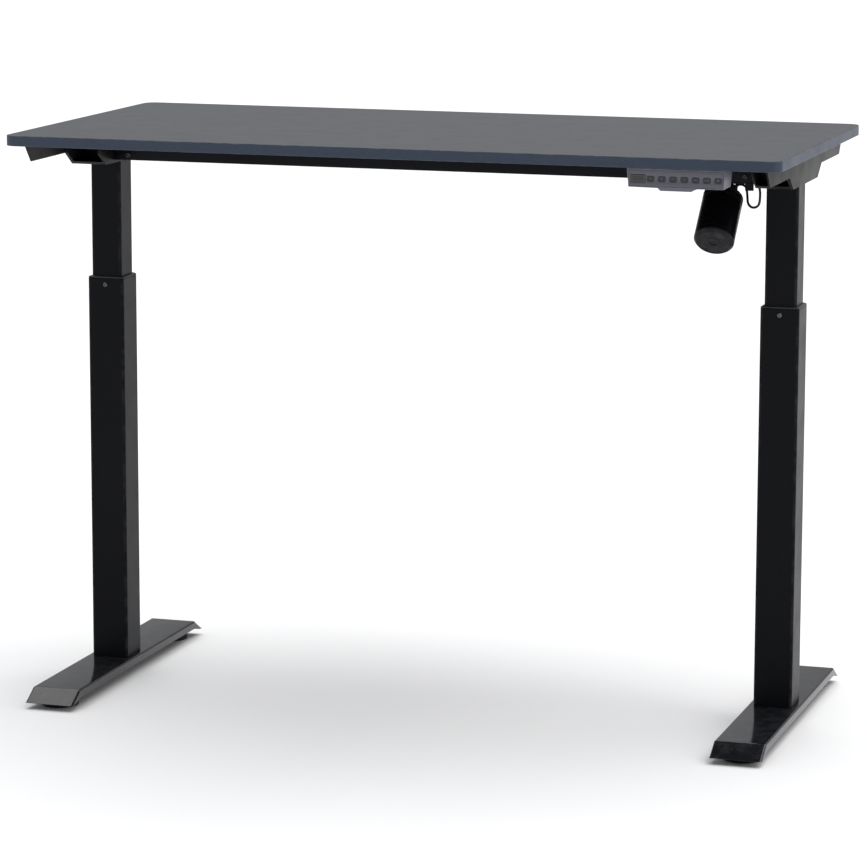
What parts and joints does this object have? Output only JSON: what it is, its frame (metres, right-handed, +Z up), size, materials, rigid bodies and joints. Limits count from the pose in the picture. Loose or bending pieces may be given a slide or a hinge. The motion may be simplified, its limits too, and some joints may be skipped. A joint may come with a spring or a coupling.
{
  "type": "height adjustable standing desk",
  "caption": "Electric sit-stand desk: flat rectangular top on telescopic square columns with channel feet, one hanging motor turning a cross shaft, and a keypad under the front edge.",
  "frame": {"origin": "on the floor, under the centre of the desktop", "axes": "+X along the desktop to the right of a person who sits at it, +Y away from that person, +Z up; the desk is drawn with its top 0.895 m above the floor"},
  "size_m": [1.2, 0.6, 0.8953],
  "materials": {
    "desk_film": "dark textured film over board, satin",
    "powder_coat": "satin black powder coat",
    "bare_steel": "machined steel, oiled",
    "zinc": "bright zinc plate",
    "bronze": "cast bronze, machined",
    "black_plastic": "fine textured black moulding",
    "white_plastic": "natural acetal",
    "motor_black": "gloss black enamel",
    "cap_plastic": "dark grey moulding",
    "cable_jacket": "black cable jacket",
    "handset_grey": "satin grey moulding",
    "display": "smoked window",
    "key_black": "dark key caps",
    "pad_rubber": "black moulded foot"
  },
  "bodies": {
    "left_base": {"foot_left": "powder_coat", "lower_column_left": "powder_coat", "column_collar_left": "black_plastic", "collar_screw_left": "zinc", "nut_tube_left": "bare_steel", "spindle_nut_left": "white_plastic"},
    "right_base": {"foot_right": "powder_coat", "lower_column_right": "powder_coat", "column_collar_right": "black_plastic", "collar_screw_right": "zinc", "nut_tube_right": "bare_steel", "spindle_nut_right": "white_plastic"},
    "top": {"desktop": "desk_film", "front_rail": "powder_coat", "back_rail": "powder_coat", "motor_gearbox": "motor_black", "motor_can": "motor_black", "motor_end_cap": "cap_plastic", "motor_bracket": "powder_coat", "motor_screw": "zinc", "lead_gland": "black_plastic", "motor_lead": "cable_jacket", "lead_plug": "black_plastic", "control_box": "black_plastic", "control_box_cover": "black_plastic", "power_inlet": "black_plastic", "handset_housing": "handset_grey", "handset_face": "handset_grey", "handset_display": "display", "side_bracket_left": "powder_coat", "leg_head_left": "powder_coat", "upper_column_left": "powder_coat", "slide_shoe_left": "white_plastic", "spindle_bearing_left": "bare_steel", "head_gearbox_left": "black_plastic", "side_bracket_right": "powder_coat", "leg_head_right": "powder_coat", "upper_column_right": "powder_coat", "slide_shoe_right": "white_plastic", "spindle_bearing_right": "bare_steel", "head_gearbox_right": "black_plastic"},
    "spindle_left": {"lift_spindle_left": "bare_steel", "spindle_gear_left": "bare_steel"},
    "spindle_right": {"lift_spindle_right": "bare_steel", "spindle_gear_right": "bare_steel"},
    "drive": {"drive_shaft": "zinc", "worm_wheel": "bronze", "shaft_gear_left": "bare_steel", "shaft_gear_right": "bare_steel"},
    "key_up_cap": {"key_up": "key_black"},
    "key_down_cap": {"key_down": "key_black"},
    "key_one_cap": {"key_one": "key_black"},
    "key_two_cap": {"key_two": "key_black"},
    "key_three_cap": {"key_three": "key_black"},
    "key_four_cap": {"key_four": "key_black"},
    "key_memory_cap": {"key_memory": "key_black"},
    "levelling_pad_left_front_screw": {"levelling_pad_left_front": "pad_rubber"},
    "levelling_pad_left_back_screw": {"levelling_pad_left_back": "pad_rubber"},
    "levelling_pad_right_front_screw": {"levelling_pad_right_front": "pad_rubber"},
    "levelling_pad_right_back_screw": {"levelling_pad_right_back": "pad_rubber"}
  },
  "joints": [
    {"name": "left_lift", "type": "slide", "parent": "left_base", "child": "top", "axis": [0, 0, 1], "range_m": [-0.175, 0.2852]},
    {"name": "right_lift", "type": "slide", "parent": "top", "child": "right_base", "axis": [0, 0, -1], "range_m": [-0.175, 0.2852]},
    {"name": "spindle_turn_left", "type": "hinge", "parent": "top", "child": "spindle_left", "pos_m": [-0.5452, 0, 0.8573], "axis": [0, 0, 1], "range_deg": [-6302, 10270]},
    {"name": "spindle_turn_right", "type": "hinge", "parent": "top", "child": "spindle_right", "pos_m": [0.5452, 0, 0.8573], "axis": [0, 0, 1], "range_deg": [-6302, 10270]},
    {"name": "drive_turn", "type": "hinge", "parent": "top", "child": "drive", "pos_m": [0, 0, 0.8573], "axis": [1, 0, 0], "range_deg": [-6302, 10270]},
    {"name": "key_up_press", "type": "slide", "parent": "top", "child": "key_up_cap", "axis": [0, 1, 0], "range_m": [0, 0.0008], "stiffness_N_per_m": 1200, "springref_m": -0.0005},
    {"name": "key_down_press", "type": "slide", "parent": "top", "child": "key_down_cap", "axis": [0, 1, 0], "range_m": [0, 0.0008], "stiffness_N_per_m": 1200, "springref_m": -0.0005},
    {"name": "key_one_press", "type": "slide", "parent": "top", "child": "key_one_cap", "axis": [0, 1, 0], "range_m": [0, 0.0008], "stiffness_N_per_m": 1200, "springref_m": -0.0005},
    {"name": "key_two_press", "type": "slide", "parent": "top", "child": "key_two_cap", "axis": [0, 1, 0], "range_m": [0, 0.0008], "stiffness_N_per_m": 1200, "springref_m": -0.0005},
    {"name": "key_three_press", "type": "slide", "parent": "top", "child": "key_three_cap", "axis": [0, 1, 0], "range_m": [0, 0.0008], "stiffness_N_per_m": 1200, "springref_m": -0.0005},
    {"name": "key_four_press", "type": "slide", "parent": "top", "child": "key_four_cap", "axis": [0, 1, 0], "range_m": [0, 0.0008], "stiffness_N_per_m": 1200, "springref_m": -0.0005},
    {"name": "key_memory_press", "type": "slide", "parent": "top", "child": "key_memory_cap", "axis": [0, 1, 0], "range_m": [0, 0.0008], "stiffness_N_per_m": 1200, "springref_m": -0.0005},
    {"name": "pad_left_front_level", "type": "slide", "parent": "left_base", "child": "levelling_pad_left_front_screw", "axis": [0, 0, -1], "range_m": [0, 0.008]},
    {"name": "pad_left_back_level", "type": "slide", "parent": "left_base", "child": "levelling_pad_left_back_screw", "axis": [0, 0, -1], "range_m": [0, 0.008]},
    {"name": "pad_right_front_level", "type": "slide", "parent": "right_base", "child": "levelling_pad_right_front_screw", "axis": [0, 0, -1], "range_m": [0, 0.008]},
    {"name": "pad_right_back_level", "type": "slide", "parent": "right_base", "child": "levelling_pad_right_back_screw", "axis": [0, 0, -1], "range_m": [0, 0.008]}
  ],
  "couplings": [
    {"joint": "right_lift", "follows": "left_lift", "ratio": 1},
    {"joint": "spindle_turn_left", "follows": "left_lift", "rad_per_m": 628.32},
    {"joint": "spindle_turn_right", "follows": "left_lift", "rad_per_m": 628.32},
    {"joint": "drive_turn", "follows": "left_lift", "rad_per_m": 628.32}
  ]
}
